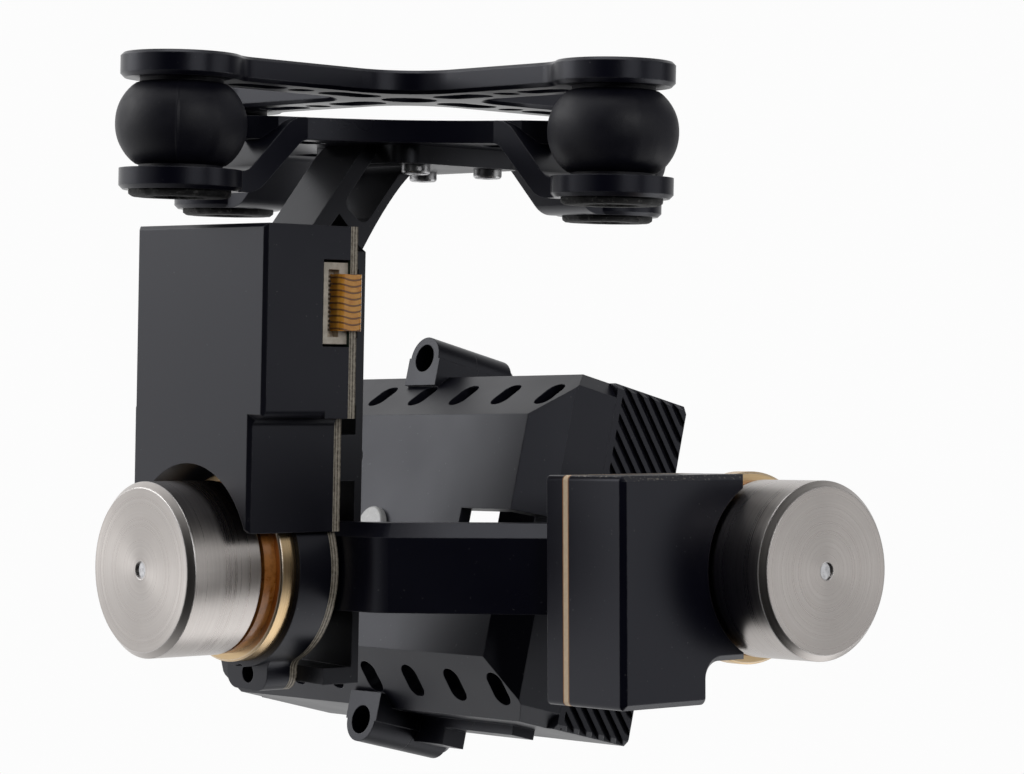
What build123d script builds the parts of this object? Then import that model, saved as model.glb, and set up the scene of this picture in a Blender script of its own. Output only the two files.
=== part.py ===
"""Hanging camera stabilizer: damped plate, bent neck, roll motor, curved arm, tilt motor, camera case.

The numbers below are laid out from the point where the roll axis (Y) and the tilt axis (X) cross.
keep() then moves every part so that the origin is the middle of the bolt pattern on the top face.
+X points at the tilt motor, +Y is where the camera looks and +Z is up. Units are millimetres.
"""
import os

from build123d import *

# Resting attitude
ARM_ROLL = -2.0
CASE_TILT = -14.0

# Flat brushless motors, both the same
CAN_R = 10.0
CAN_L = 9.7
CAN_GAP = 0.4
CAN_WALL = 0.8
MAGNET_R_IN = 8.35
STATOR_R = 8.0
STATOR_L = 5.0
SHAFT_R = 1.0
SLEEVE_R = 3.2
BEARING_R = 2.6
FLANGE_R = 10.9
FLANGE_T = 2.1
COIL_R = 9.9
COIL_T = 1.6

# Roll unit
ROLL_FACE_Y = -53.17
MOTOR_L = CAN_L + CAN_GAP + COIL_T + FLANGE_T
ROLL_SEAT_Y = ROLL_FACE_Y + MOTOR_L
BOARD_FRONT_Y = -34.95
BOARD_T = 1.0
BOX_FRONT_Y = -46.77
BOX_X0 = -11.5
BOX_X1 = 14.1
BOX_Z0 = 17.5
BOX_Z1 = 39.2
BLOCK_X = 11.6
BLOCK_Z0 = 4.6
ARCH_R = 12.0
HOUSING_R = 11.6
LUG_X = 4.0
LUG_Z = -14.3
LUG_HOLE_Z = -12.4
LUG_HOLE_R = 1.1
LUG_FRONT_Y = -38.2
WALL = 1.5

# Bracket
RIB_X = 9.0
RIB_Y0 = BOARD_FRONT_Y + BOARD_T
RIB_Y1 = -28.9
RIB_WALL = 1.0
WINDOW_Z0 = -11.3
WINDOW_Z1 = 10.2
SLAB_Z0 = -13.2
RIB_SCREW_X = 6.6
RIB_SCREW_Z = 13.1
RIB_SCREW_R = 0.9
NECK_X = 4.2
PLATFORM_Z0 = 47.2
PLATFORM_SCREW_X = 6.2
PLATFORM_SCREW_Y = 5.5
PLATFORM_Y = -14.0

# Damper plates
PLATE_X = -1.0
PLATE_Y = -15.0
PLATE_TURN = 3.5
DAMPER_RADIUS = 34.5
LOBE_R = 6.95
UPPER_Z0 = 55.5
UPPER_T = 2.8
UPPER_ARM_W = 8.8
UPPER_BOLT_R = 17.0
UPPER_HOLE_R = 1.6
LOWER_Z0 = 49.4
LOWER_T = 2.6
LOBE_Z0 = 42.9
LOBE_T = 2.4
LEG_W = 8.8
LEG_BEND = 2.2
PLATE_CHAMFER = 0.45
SIDE_HALF = 18.2
SIDE_SAG = 3.0

# Rubber dampers
BALL_R = 7.55
BALL_END_R = 4.9
BALL_WALL = 1.7
STEM_R = 2.6
STEM_HOLE_R = 2.9
COLLAR_R = 4.6
GROMMET_R = 5.95

# Curved arm
HUB_R = 6.7
ARM_Y0 = -33.5
ARM_Y1 = -30.3
ARM_Z0 = -4.87
ARM_Z1 = 5.22
ARM_CHAMFER = 1.6

# Tilt unit
TILT_FACE_X = 55.7
END_X0 = 35.3
END_T = 2.6
TILT_SEAT_X = TILT_FACE_X - MOTOR_L
TILT_BOX_X = 47.7
TILT_Y0 = -23.08
TILT_Y1 = -10.3
TILT_Z0 = -14.6
TILT_Z1 = 10.7
TILT_LIP_Y = -4.4
TILT_LIP_Z = -9.9
TILT_DISC_R = 10.3
TILT_ARCH_R = 10.4
TILT_SCREW_R = 0.9
TILT_SCREW_SINK = 1.1

# Tilt hub
HUB_BORE_X = 24.0
HUB_END_X = 34.9
HUB_NECK_R = 4.6
HUB_FLANGE_R = 7.9
HUB_FLANGE_T = 2.0
HUB_BOLT_R = 6.25
HUB_SCREW_R = 0.8

# Camera case
CASE_X0 = -39.0
CASE_X1 = 20.4
CASE_Y0 = -14.5
CASE_SPLIT = -3.8
CASE_Y1 = 8.4
CASE_Z = 20.9
CASE_BEVEL = 6.4
CASE_WALL = 1.6
SLOT_PITCH = 8.0
SLOT_L = 4.6
SLOT_W = 2.7
FOOT_X0 = -8.2
FOOT_Z = -24.2
RAIL_Z = -22.1
REAR_END_CHAMFER = 1.8
FRONT_END_CHAMFER = 0.6
FRONT_EDGE_CHAMFER = 0.7
BARREL_R = 2.7
BARREL_BORE_R = 1.75
BARREL_X = -9.0
BARREL_Z = 22.9
BARREL_Y0 = -10.2
BARREL_Y1 = 2.0
BARREL_STEP_Y = -5.2
BARREL_SCREW_R = 1.25
GRIP_PITCH = 2.0
LENS_X = 8.0
LENS_R = 10.5

parts = {}


def keep(part, name, color=(0.05, 0.05, 0.06)):
    part = part.moved(Location((-PLATE_X, -PLATE_Y, -UPPER_Z0 - UPPER_T)))
    part.label = name
    part.color = Color(*color)
    parts[name] = part


def arm_pose(part):
    return part.rotate(Axis.Y, ARM_ROLL)


def case_pose(part):
    return part.rotate(Axis.X, CASE_TILT).rotate(Axis.Y, ARM_ROLL)


def plate_pose(part):
    return part.rotate(Axis.Z, PLATE_TURN).moved(Location((PLATE_X, PLATE_Y, 0)))


def damper_spots():
    return PolarLocations(DAMPER_RADIUS, 4)


# Upper plate: a flat cross with round ends, drawn about its own centre
def upper_plate():
    with BuildPart() as plate:
        with BuildSketch(Plane.XY.offset(UPPER_Z0)) as outline:
            Rectangle(2 * DAMPER_RADIUS, UPPER_ARM_W)
            Rectangle(UPPER_ARM_W, 2 * DAMPER_RADIUS)
            with damper_spots():
                Circle(LOBE_R)
            near = [v for v in outline.vertices() if abs(v.X) < 10 and abs(v.Y) < 10]
            fillet(near, 7)
            far = [v for v in outline.vertices() if max(abs(v.X), abs(v.Y)) > 25]
            fillet(far, 4)
        extrude(amount=UPPER_T)
        chamfer(plate.faces().sort_by(Axis.Z)[-1].outer_wire().edges(), 0.35)
        chamfer(plate.faces().sort_by(Axis.Z)[0].outer_wire().edges(), PLATE_CHAMFER)
        with Locations(Location((0, 0, UPPER_Z0 + UPPER_T))):
            with damper_spots():
                CounterBoreHole(STEM_R, COLLAR_R + 0.2, 1.3, depth=10)
            with PolarLocations(UPPER_BOLT_R, 4):
                Hole(UPPER_HOLE_R, depth=20)
        with BuildSketch(Plane.XY.offset(UPPER_Z0)):
            with PolarLocations(23.5, 4):
                SlotOverall(8.0, 3.6)
            with PolarLocations(9.5, 4):
                SlotOverall(8.5, 4.4)
            Circle(3.4)
        extrude(amount=UPPER_T, mode=Mode.SUBTRACT)
    keep(plate_pose(plate.part), "upper_damper_plate")


def leg_side(knee, foot, lean):
    """Bent strip seen from the side: raised middle at the left, pad for the damper at the right."""
    top = LOWER_Z0 + LOWER_T
    lobe_top = LOBE_Z0 + LOBE_T
    with BuildSketch() as side:
        with BuildLine():
            Polyline(
                (knee - 4, top),
                (knee, top),
                (foot, lobe_top),
                (DAMPER_RADIUS, lobe_top),
                (DAMPER_RADIUS, LOBE_Z0),
                (foot - lean, LOBE_Z0),
                (knee - lean, LOWER_Z0),
                (knee - 4, LOWER_Z0),
                close=True,
            )
        make_face()
        outer = [v for v in side.vertices() if abs(v.X - knee) < 0.1 or abs(v.X - foot + lean) < 0.1]
        fillet(outer, LEG_BEND + 1.6)
        inner = [v for v in side.vertices() if abs(v.X - foot) < 0.1 or abs(v.X - knee + lean) < 0.1]
        fillet(inner, LEG_BEND)
    return side.sketch


# Lower plate: raised middle with four legs bent down to the damper pads
def lower_plate():
    knee = 21.6
    foot = knee + LOWER_Z0 + LOWER_T - LOBE_Z0 - LOBE_T
    side = leg_side(knee, foot, 1.4)
    up = (Align.CENTER, Align.CENTER, Align.MIN)
    with BuildPart() as leg:
        with BuildSketch(Plane.XZ.offset(-LEG_W / 2)):
            add(side)
        extrude(amount=LEG_W)
        with Locations((DAMPER_RADIUS, 0, LOBE_Z0 + PLATE_CHAMFER)):
            Cylinder(LOBE_R, LOBE_T - PLATE_CHAMFER, align=up)
        with Locations((DAMPER_RADIUS, 0, LOBE_Z0)):
            Cone(LOBE_R - PLATE_CHAMFER, LOBE_R, PLATE_CHAMFER, align=up)
    with BuildPart() as plate:
        with BuildSketch(Plane.XY.offset(LOWER_Z0)):
            Rectangle(2 * knee - 3, LEG_W)
            Rectangle(LEG_W, 2 * knee - 3)
            Rectangle(2 * SIDE_HALF, 2 * SIDE_HALF, rotation=45)
        extrude(amount=LOWER_T)
        with Locations(Location((0, 0, LOWER_Z0 - 1))):
            with PolarLocations(SIDE_HALF - SIDE_SAG + 34, 4, start_angle=45):
                Cylinder(34, 6, align=(Align.CENTER, Align.CENTER, Align.MIN), mode=Mode.SUBTRACT)
        for turn in range(4):
            add(leg.part.rotate(Axis.Z, 90 * turn))
        with Locations(Location((0, 0, LOBE_Z0 + LOBE_T))):
            with damper_spots():
                Hole(STEM_HOLE_R, depth=20)
        with BuildSketch(Plane.XY.offset(LOWER_Z0)):
            with PolarLocations(17.0, 4):
                SlotOverall(6.5, 4.0)
        extrude(amount=LOWER_T, mode=Mode.SUBTRACT)
    with BuildPart() as drilled:
        add(plate_pose(plate.part))
        with Locations(Location((0, PLATFORM_Y, LOWER_Z0 + LOWER_T))):
            with GridLocations(2 * PLATFORM_SCREW_X, 2 * PLATFORM_SCREW_Y, 2, 2):
                Hole(1.05, depth=20)
    keep(drilled.part, "lower_damper_plate")


# Hollow rubber ball with a stem through each plate
def dampers():
    mid = (UPPER_Z0 + LOBE_Z0 + LOBE_T) / 2
    half = (UPPER_Z0 - LOBE_Z0 - LOBE_T) / 2
    seat = UPPER_Z0 + UPPER_T - 1.3
    with BuildPart() as ball:
        with BuildSketch(Plane.XZ):
            with BuildLine():
                Line((0, -half), (BALL_END_R, -half))
                ThreePointArc((BALL_END_R, -half), (BALL_R, 0), (BALL_END_R, half))
                Line((BALL_END_R, half), (0, half))
                Line((0, half), (0, -half))
            make_face()
            with BuildLine():
                cut = half - BALL_WALL
                Line((0, -cut), (BALL_END_R - 1.2, -cut))
                ThreePointArc((BALL_END_R - 1.2, -cut), (BALL_R - BALL_WALL, 0), (BALL_END_R - 1.2, cut))
                Line((BALL_END_R - 1.2, cut), (0, cut))
                Line((0, cut), (0, -cut))
            make_face(mode=Mode.SUBTRACT)
        revolve(axis=Axis.Z)
        up = Align.MIN
        with Locations((0, 0, half)):
            Cylinder(STEM_R, seat - UPPER_Z0, align=(Align.CENTER, Align.CENTER, up))
        with Locations((0, 0, half + seat - UPPER_Z0)):
            Cylinder(COLLAR_R, 1.1, align=(Align.CENTER, Align.CENTER, up))
        with Locations((0, 0, -half - LOBE_T)):
            Cylinder(STEM_R, LOBE_T, align=(Align.CENTER, Align.CENTER, up))
        with Locations((0, 0, -half - LOBE_T - 0.8)):
            Cylinder(GROMMET_R, 0.8, align=(Align.CENTER, Align.CENTER, up))
        fillet(ball.faces().sort_by(Axis.Z)[0].edges(), 0.35)
    spots = {
        "damper_right": (DAMPER_RADIUS, 0),
        "damper_front": (0, DAMPER_RADIUS),
        "damper_left": (-DAMPER_RADIUS, 0),
        "damper_rear": (0, -DAMPER_RADIUS),
    }
    for name, (x, y) in spots.items():
        keep(plate_pose(ball.part.moved(Location((x, y, mid)))), name, (0.03, 0.03, 0.035))


# Bracket: platform, leaning neck with a slot, pocketed rib and motor window
def bracket():
    with BuildPart() as body:
        with BuildSketch(Plane.XY.offset(PLATFORM_Z0)):
            with Locations((0, -14.6)):
                RectangleRounded(18.4, 18.6, 2.5)
        extrude(amount=LOWER_Z0 - PLATFORM_Z0)
        with BuildSketch(Plane.YZ.offset(-NECK_X)) as neck:
            with BuildLine():
                Polyline((RIB_Y0, 36.0), (-33.2, 39.4), (-26.6, 48.0), (-25.2, LOWER_Z0))
                Polyline((-25.2, LOWER_Z0), (-11.0, LOWER_Z0), (-13.2, 48.2))
                Spline((-13.2, 48.2), (-17.7, 46.9), (-21.4, 43.3), (-24.6, 38.8), (RIB_Y1, 32.0))
                Polyline((RIB_Y1, 32.0), (RIB_Y0, 32.0), (RIB_Y0, 36.0))
            make_face()
            with Locations(Location((-24.1, 44.8), 52)):
                RectangleRounded(9.6, 4.1, 1.3, mode=Mode.SUBTRACT)
            with BuildLine():
                Polyline((-31.0, 39.0), (-27.2, 39.0), (-29.2, 41.1), (-31.0, 39.0))
            make_face(mode=Mode.SUBTRACT)
        extrude(amount=2 * NECK_X)
        with BuildSketch(Plane.XZ.offset(-RIB_Y0)):
            with BuildLine():
                Polyline(
                    (-RIB_X, SLAB_Z0),
                    (RIB_X, SLAB_Z0),
                    (RIB_X, 36.6),
                    (NECK_X + 1, 38.8),
                    (-NECK_X - 1, 38.8),
                    (-RIB_X, 36.6),
                    close=True,
                )
            make_face()
        extrude(amount=RIB_Y0 - RIB_Y1)
        depth = RIB_Y1 - RIB_WALL - RIB_Y0
        with BuildSketch(Plane.XZ.offset(-RIB_Y0)):
            with Locations((0, (WINDOW_Z0 + WINDOW_Z1) / 2)):
                Rectangle(2 * RIB_X + 2, WINDOW_Z1 - WINDOW_Z0)
            with Locations((0, 17.2)):
                Rectangle(2 * RIB_X + 2, 3.4)
            with Locations((3.4, 30.6)):
                RectangleRounded(2 * RIB_X, 8.0, 1.2)
            with Locations((0, 22.6)):
                RectangleRounded(13, 4.6, 1.2)
        extrude(amount=-depth, mode=Mode.SUBTRACT)
        with Locations(Location((0, RIB_Y1, 0), (-90, 0, 0))):
            with Locations((-RIB_SCREW_X, -RIB_SCREW_Z), (RIB_SCREW_X, -RIB_SCREW_Z)):
                Hole(RIB_SCREW_R, depth=20)
        with Locations(Location((0, RIB_Y1, 0), (90, 0, 0))):
            Cylinder(4.3, 2.0, align=(Align.CENTER, Align.CENTER, Align.CENTER))
        with Locations(Location((0, RIB_Y1 + 2, 0), (90, 0, 0))):
            Cylinder(3.0, 2.6, align=(Align.CENTER, Align.CENTER, Align.MIN), mode=Mode.SUBTRACT)
            Cylinder(1.7, 10, align=(Align.CENTER, Align.CENTER, Align.MIN), mode=Mode.SUBTRACT)
        with Locations(Location((0, PLATFORM_Y, LOWER_Z0))):
            with GridLocations(2 * PLATFORM_SCREW_X, 2 * PLATFORM_SCREW_Y, 2, 2):
                Hole(1.05, depth=10)
    keep(body.part, "neck_bracket")


def pan_screw(head_r, head_h, shank_r, shank_l):
    with BuildPart() as screw:
        Cylinder(shank_r, shank_l, align=(Align.CENTER, Align.CENTER, Align.MAX))
        Cylinder(head_r, head_h, align=(Align.CENTER, Align.CENTER, Align.MIN))
        fillet(screw.faces().sort_by(Axis.Z)[-1].edges(), head_h * 0.35)
        with Locations((0, 0, head_h)):
            with BuildSketch(Plane.XY.offset(head_h)):
                RegularPolygon(head_r * 0.42, 6)
            extrude(amount=-head_h * 0.6, mode=Mode.SUBTRACT)
    return screw.part


# Screws under the lower plate, and the pair that holds the roll housing on the bracket
def platform_screws():
    screw = pan_screw(1.7, 1.1, 1.0, 4.4)
    with BuildPart() as group:
        for x in (-PLATFORM_SCREW_X, PLATFORM_SCREW_X):
            for y in (-PLATFORM_SCREW_Y, PLATFORM_SCREW_Y):
                spot = Location((x, PLATFORM_Y + y, PLATFORM_Z0), (180, 0, 0))
                add(screw.moved(spot))
    keep(group.part, "platform_screws", (0.6, 0.6, 0.62))
    long = pan_screw(1.6, 0.9, RIB_SCREW_R, RIB_Y1 - BOARD_FRONT_Y + 3.6)
    with BuildPart() as pair:
        for x in (-RIB_SCREW_X, RIB_SCREW_X):
            add(long.moved(Location((x, RIB_Y1, RIB_SCREW_Z), (-90, 0, 0))))
    keep(pair.part, "housing_screws", (0.5, 0.5, 0.52))


def roll_outline(grow=0.0):
    """Outline of the roll housing and its board, on the XZ plane."""
    with BuildSketch() as shape:
        with Locations(((BOX_X0 + BOX_X1) / 2, (BOX_Z0 + BOX_Z1) / 2)):
            Rectangle(BOX_X1 - BOX_X0 + 2 * grow, BOX_Z1 - BOX_Z0 + 2 * grow)
        with Locations((0, (BOX_Z0 + BLOCK_Z0) / 2 + 0.5)):
            Rectangle(2 * BLOCK_X + 2 * grow, BOX_Z0 - BLOCK_Z0 + 1)
        Circle(HOUSING_R + grow)
        with Locations((0, (LUG_Z - 6) / 2)):
            Rectangle(2 * LUG_X, -6 - LUG_Z)
        tips = [v for v in shape.vertices() if v.Y < LUG_Z + 0.5]
        fillet(tips, 2.0)
        roots = [v for v in shape.vertices() if LUG_Z + 3 < v.Y < -8]
        fillet(roots, 1.4)
    return shape.sketch


# Roll housing: tall electronics box above a round motor seat
def roll_housing():
    front = Plane.XZ.offset(-BOX_FRONT_Y)
    deep = BOARD_FRONT_Y - BOX_FRONT_Y
    outline = roll_outline()
    with BuildPart() as box:
        with BuildSketch(front):
            with Locations(((BOX_X0 + BOX_X1) / 2, (BOX_Z0 + BOX_Z1) / 2)):
                Rectangle(BOX_X1 - BOX_X0, BOX_Z1 - BOX_Z0)
            with Locations((0, (BOX_Z0 + BLOCK_Z0) / 2 + 0.5)):
                Rectangle(2 * BLOCK_X, BOX_Z0 - BLOCK_Z0 + 1)
        extrude(amount=-deep)
        rim = box.faces().sort_by(Axis.Y)[0].outer_wire().edges()
        chamfer(rim, 0.45)
        steps = [e for e in box.edges().filter_by(Axis.Y) if abs(e.center().Z - BOX_Z0) < 0.1]
        fillet(steps, 0.9)
        with Locations(Location((0, ROLL_SEAT_Y, 0), (90, 0, 0))):
            Cylinder(ARCH_R, 20, align=(Align.CENTER, Align.CENTER, Align.MIN), mode=Mode.SUBTRACT)
        with BuildSketch(Plane.XZ.offset(-ROLL_SEAT_Y)):
            Circle(HOUSING_R)
        extrude(amount=-(BOARD_FRONT_Y - ROLL_SEAT_Y))
        with BuildSketch(Plane.XZ.offset(-LUG_FRONT_Y)):
            add(outline)
        extrude(amount=-(BOARD_FRONT_Y - LUG_FRONT_Y))
        with BuildSketch(Plane.XZ.offset(-BOARD_FRONT_Y)):
            with Locations(((BOX_X0 + BOX_X1) / 2, (BOX_Z0 + BOX_Z1) / 2 + 0.7)):
                RectangleRounded(BOX_X1 - BOX_X0 - 2 * WALL, BOX_Z1 - BOX_Z0 - 2 * WALL + 1.4, 0.8)
        extrude(amount=deep - WALL, mode=Mode.SUBTRACT)
        with BuildSketch(Plane.XZ.offset(-BOARD_FRONT_Y)):
            Circle(HOUSING_R - 1.8)
        extrude(amount=2.6, mode=Mode.SUBTRACT)
        with Locations(Location((0, ROLL_SEAT_Y, 0), (90, 0, 0))):
            Cylinder(SLEEVE_R, 20, mode=Mode.SUBTRACT)
        with Locations(Location((0.2, BOARD_FRONT_Y, LUG_HOLE_Z), (90, 0, 0))):
            Cylinder(LUG_HOLE_R, 20, mode=Mode.SUBTRACT)
        for x in (-RIB_SCREW_X, RIB_SCREW_X):
            with Locations(Location((x, BOARD_FRONT_Y, RIB_SCREW_Z), (90, 0, 0))):
                Cylinder(RIB_SCREW_R, 8.0, mode=Mode.SUBTRACT)
        with Locations((BOX_X1, (-38.7 + BOARD_FRONT_Y) / 2 + 0.2, 30.5)):
            Box(6, BOARD_FRONT_Y + 38.7 + 0.4, 9.8, mode=Mode.SUBTRACT)
    keep(box.part, "roll_housing")


# Control board between the roll housing and the bracket
def control_board():
    outline = roll_outline()
    with BuildPart() as board:
        with BuildSketch(Plane.XZ.offset(-BOARD_FRONT_Y)):
            add(outline)
            Circle(3.0, mode=Mode.SUBTRACT)
            with Locations((0.2, LUG_HOLE_Z)):
                Circle(LUG_HOLE_R, mode=Mode.SUBTRACT)
            with Locations((-RIB_SCREW_X, RIB_SCREW_Z), (RIB_SCREW_X, RIB_SCREW_Z)):
                Circle(RIB_SCREW_R, mode=Mode.SUBTRACT)
        extrude(amount=-BOARD_T)
    keep(board.part, "control_board", (0.75, 0.68, 0.5))
    with BuildPart() as chips:
        with Locations((-3.5, BOARD_FRONT_Y - 0.45, 30.0)):
            Box(7.0, 0.9, 7.0)
        with Locations((3.6, BOARD_FRONT_Y - 0.5, 33.2)):
            Box(5.0, 1.0, 4.0)
        with Locations((3.4, BOARD_FRONT_Y - 0.65, 25.0)):
            Box(4.0, 1.3, 5.0)
        for x in (-7.0, -3.6, 0.0, 7.6):
            with Locations((x, BOARD_FRONT_Y - 0.45, 22.4)):
                Box(1.3, 0.9, 2.2)
    keep(chips.part, "board_chips", (0.04, 0.04, 0.045))


# Flat-cable connector showing in the side window, with its row of contacts
def connector():
    y0 = -38.3
    with BuildPart() as body:
        with Locations((11.9, (y0 + BOARD_FRONT_Y) / 2, 30.5)):
            Box(3.4, BOARD_FRONT_Y - y0, 9.2)
        with Locations((13.3, -36.9, 30.5)):
            Box(1.4, 1.5, 7.6, mode=Mode.SUBTRACT)
    keep(body.part, "flex_connector", (0.85, 0.8, 0.7))
    with BuildPart() as pins:
        for k in range(13):
            with Locations((12.95, -37.35, 27.5 + 0.5 * k)):
                Box(0.7, 0.6, 0.26)
    keep(pins.part, "connector_contacts", (0.1, 0.09, 0.08))


# Flat orange cable from the connector around the board edge into the bracket
def ribbon():
    with BuildPart() as strip:
        with BuildSketch(Plane.XY.offset(27.4)):
            with BuildLine() as path:
                Line((12.7, -36.6), (14.0, -36.6))
                TangentArc((14.0, -36.6), (14.5, -36.1), tangent=(1, 0))
                Line((14.5, -36.1), (14.5, -34.1))
                TangentArc((14.5, -34.1), (13.9, -33.5), tangent=(0, 1))
                Line((13.9, -33.5), (6.0, -33.5))
            trace(line_width=0.3)
        extrude(amount=6.4)
    keep(strip.part, "ribbon_cable", (0.85, 0.42, 0.05))


# One flat motor, built along +Z with the closed end of the can at z = 0
def motor():
    low = Align.MIN
    mid = (Align.CENTER, Align.CENTER, low)
    made = {}
    with BuildPart() as can:
        Cylinder(CAN_R, CAN_L, align=mid)
        chamfer(can.faces().sort_by(Axis.Z)[0].edges(), 0.7)
        chamfer(can.faces().sort_by(Axis.Z)[-1].edges(), 0.15)
        with Locations((0, 0, 1.0)):
            Cylinder(CAN_R - CAN_WALL, CAN_L, align=mid, mode=Mode.SUBTRACT)
            Cylinder(2.4, 0.5, align=mid)
        Cylinder(SHAFT_R, 5, align=mid, mode=Mode.SUBTRACT)
    made["motor_can"] = (can.part, (0.72, 0.72, 0.74))
    with BuildPart() as magnets:
        with Locations((0, 0, 2.0)):
            Cylinder(CAN_R - CAN_WALL, 5.6, align=mid)
            Cylinder(MAGNET_R_IN, 5.6, align=mid, mode=Mode.SUBTRACT)
            with PolarLocations(CAN_R - CAN_WALL, 14):
                Box(3, 0.25, 5.6, align=mid, mode=Mode.SUBTRACT)
    made["motor_magnets"] = (magnets.part, (0.3, 0.3, 0.32))
    with BuildPart() as core:
        with Locations((0, 0, 2.4)):
            Cylinder(STATOR_R, STATOR_L, align=mid)
            Cylinder(SLEEVE_R, STATOR_L, align=mid, mode=Mode.SUBTRACT)
            with PolarLocations(5.6, 9):
                Box(3.2, 1.5, STATOR_L, align=mid, mode=Mode.SUBTRACT)
            with PolarLocations(7.8, 9):
                Box(2.0, 0.6, STATOR_L, align=mid, mode=Mode.SUBTRACT)
    made["stator"] = (core.part, (0.55, 0.3, 0.15))
    seat = CAN_L + CAN_GAP + COIL_T
    with BuildPart() as flange:
        with Locations((0, 0, seat)):
            Cylinder(FLANGE_R, FLANGE_T, align=mid)
            chamfer(flange.faces().sort_by(Axis.Z)[0].edges(), 0.2)
        with Locations((0, 0, 2.1)):
            Cylinder(SLEEVE_R, seat + FLANGE_T - 2.1, align=mid)
        Cylinder(1.5, 40, mode=Mode.SUBTRACT)
        with Locations((0, 0, 2.1)):
            Cylinder(BEARING_R, 1.6, align=mid, mode=Mode.SUBTRACT)
        with Locations((0, 0, seat + FLANGE_T - 1.6)):
            Cylinder(BEARING_R, 1.6, align=mid, mode=Mode.SUBTRACT)
    made["motor_flange"] = (flange.part, (0.75, 0.56, 0.22))
    with BuildPart() as ring:
        with Locations((0, 0, CAN_L + CAN_GAP)):
            Cylinder(COIL_R, COIL_T, align=mid)
            Cylinder(SLEEVE_R, COIL_T, align=mid, mode=Mode.SUBTRACT)
    made["coil_ring"] = (ring.part, (0.55, 0.24, 0.03))
    with BuildPart() as bearings:
        for z in (2.1, seat + FLANGE_T - 1.6):
            with Locations((0, 0, z)):
                Cylinder(BEARING_R, 1.6, align=mid)
                Cylinder(SHAFT_R + 0.02, 1.6, align=mid, mode=Mode.SUBTRACT)
    made["bearings"] = (bearings.part, (0.8, 0.8, 0.82))
    return made


def motors():
    pieces = motor()
    to_roll = Location((0, ROLL_FACE_Y, 0), (-90, 0, 0))
    to_tilt = Location((TILT_FACE_X, 0, 0), (0, -90, 0))
    for name, (piece, color) in pieces.items():
        roll_piece = piece.moved(to_roll)
        tilt_piece = arm_pose(piece.moved(to_tilt))
        if name in ("motor_can", "motor_magnets"):
            roll_piece = arm_pose(roll_piece)
            tilt_piece = case_pose(piece.moved(to_tilt))
        keep(roll_piece, "roll_" + name, color)
        keep(tilt_piece, "tilt_" + name, color)


# Shafts run from the cans to what they turn
def shafts():
    with BuildPart() as roll:
        with Locations(Location((0, ROLL_FACE_Y + 0.25, 0), (-90, 0, 0))):
            Cylinder(SHAFT_R, -31.0 - ROLL_FACE_Y - 0.25, align=(Align.CENTER, Align.CENTER, Align.MIN))
    keep(arm_pose(roll.part), "roll_shaft", (0.8, 0.8, 0.82))
    with BuildPart() as tilt:
        with Locations(Location((TILT_FACE_X - 0.25, 0, 0), (0, -90, 0))):
            Cylinder(SHAFT_R, TILT_FACE_X - 0.25 - HUB_BORE_X, align=(Align.CENTER, Align.CENTER, Align.MIN))
    keep(case_pose(tilt.part), "tilt_shaft", (0.8, 0.8, 0.82))


# Arm: hub on the roll shaft, bent beam and the end plate behind the tilt unit
def roll_arm():
    outline = tilt_outline()
    with BuildPart() as arm:
        with BuildSketch(Plane.XY.offset(ARM_Z0)) as plan:
            with BuildLine():
                Polyline(
                    (0, ARM_Y0),
                    (17.6, ARM_Y0),
                    (34.2, -21.4),
                    (END_X0 + 0.5, TILT_Y0 + 0.6),
                    (END_X0 + 0.5, -13.5),
                    (END_X0 - 1.2, -14.8),
                    (15.6, ARM_Y1 + 1.6),
                    (12.5, ARM_Y1),
                    (0, ARM_Y1),
                    close=True,
                )
            make_face()
            bends = [v for v in plan.vertices() if 15 < v.X < 18]
            fillet(bends, 5)
        extrude(amount=ARM_Z1 - ARM_Z0)
        upper = [
            e for e in arm.edges()
            if abs(e.center().Z - ARM_Z1) < 0.01 and 2 < e.center().X < 33.9 and e.center().Y < -22
            and e.center().Y < ARM_Y0 + 0.1 + max(0, e.center().X - 10.0) * 0.62
        ]
        chamfer(upper, ARM_CHAMFER)
        with Locations(Location((0, ARM_Y0, 0), (-90, 0, 0))):
            Cylinder(HUB_R, ARM_Y1 - ARM_Y0, align=(Align.CENTER, Align.CENTER, Align.MIN))
        with Locations(Location((0, ARM_Y1, 0), (-90, 0, 0))):
            Cylinder(1.48, 2.6, align=(Align.CENTER, Align.CENTER, Align.MIN))
        with Locations(Location((0, -31.0, 0), (90, 0, 0))):
            Cylinder(SHAFT_R, 20, align=(Align.CENTER, Align.CENTER, Align.MIN), mode=Mode.SUBTRACT)
        with BuildSketch(Plane.YZ.offset(END_X0)):
            add(outline)
        extrude(amount=END_T)
        with Locations(Location((END_X0, 0, 0), (0, 90, 0))):
            Cylinder(3.0, 20, mode=Mode.SUBTRACT)
        drill_tilt_screws()
        for spot in tilt_screw_spots():
            with Locations(spot):
                Cylinder(1.6, 2 * TILT_SCREW_SINK, mode=Mode.SUBTRACT)
    keep(arm_pose(arm.part), "roll_arm")
    with BuildPart() as bearing:
        with Locations(Location((0, RIB_Y1 - 0.6, 0), (-90, 0, 0))):
            Cylinder(3.0, 2.0, align=(Align.CENTER, Align.CENTER, Align.MIN))
            Cylinder(1.5, 2.0, align=(Align.CENTER, Align.CENTER, Align.MIN), mode=Mode.SUBTRACT)
    keep(bearing.part, "hub_bearing", (0.8, 0.8, 0.82))


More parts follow.
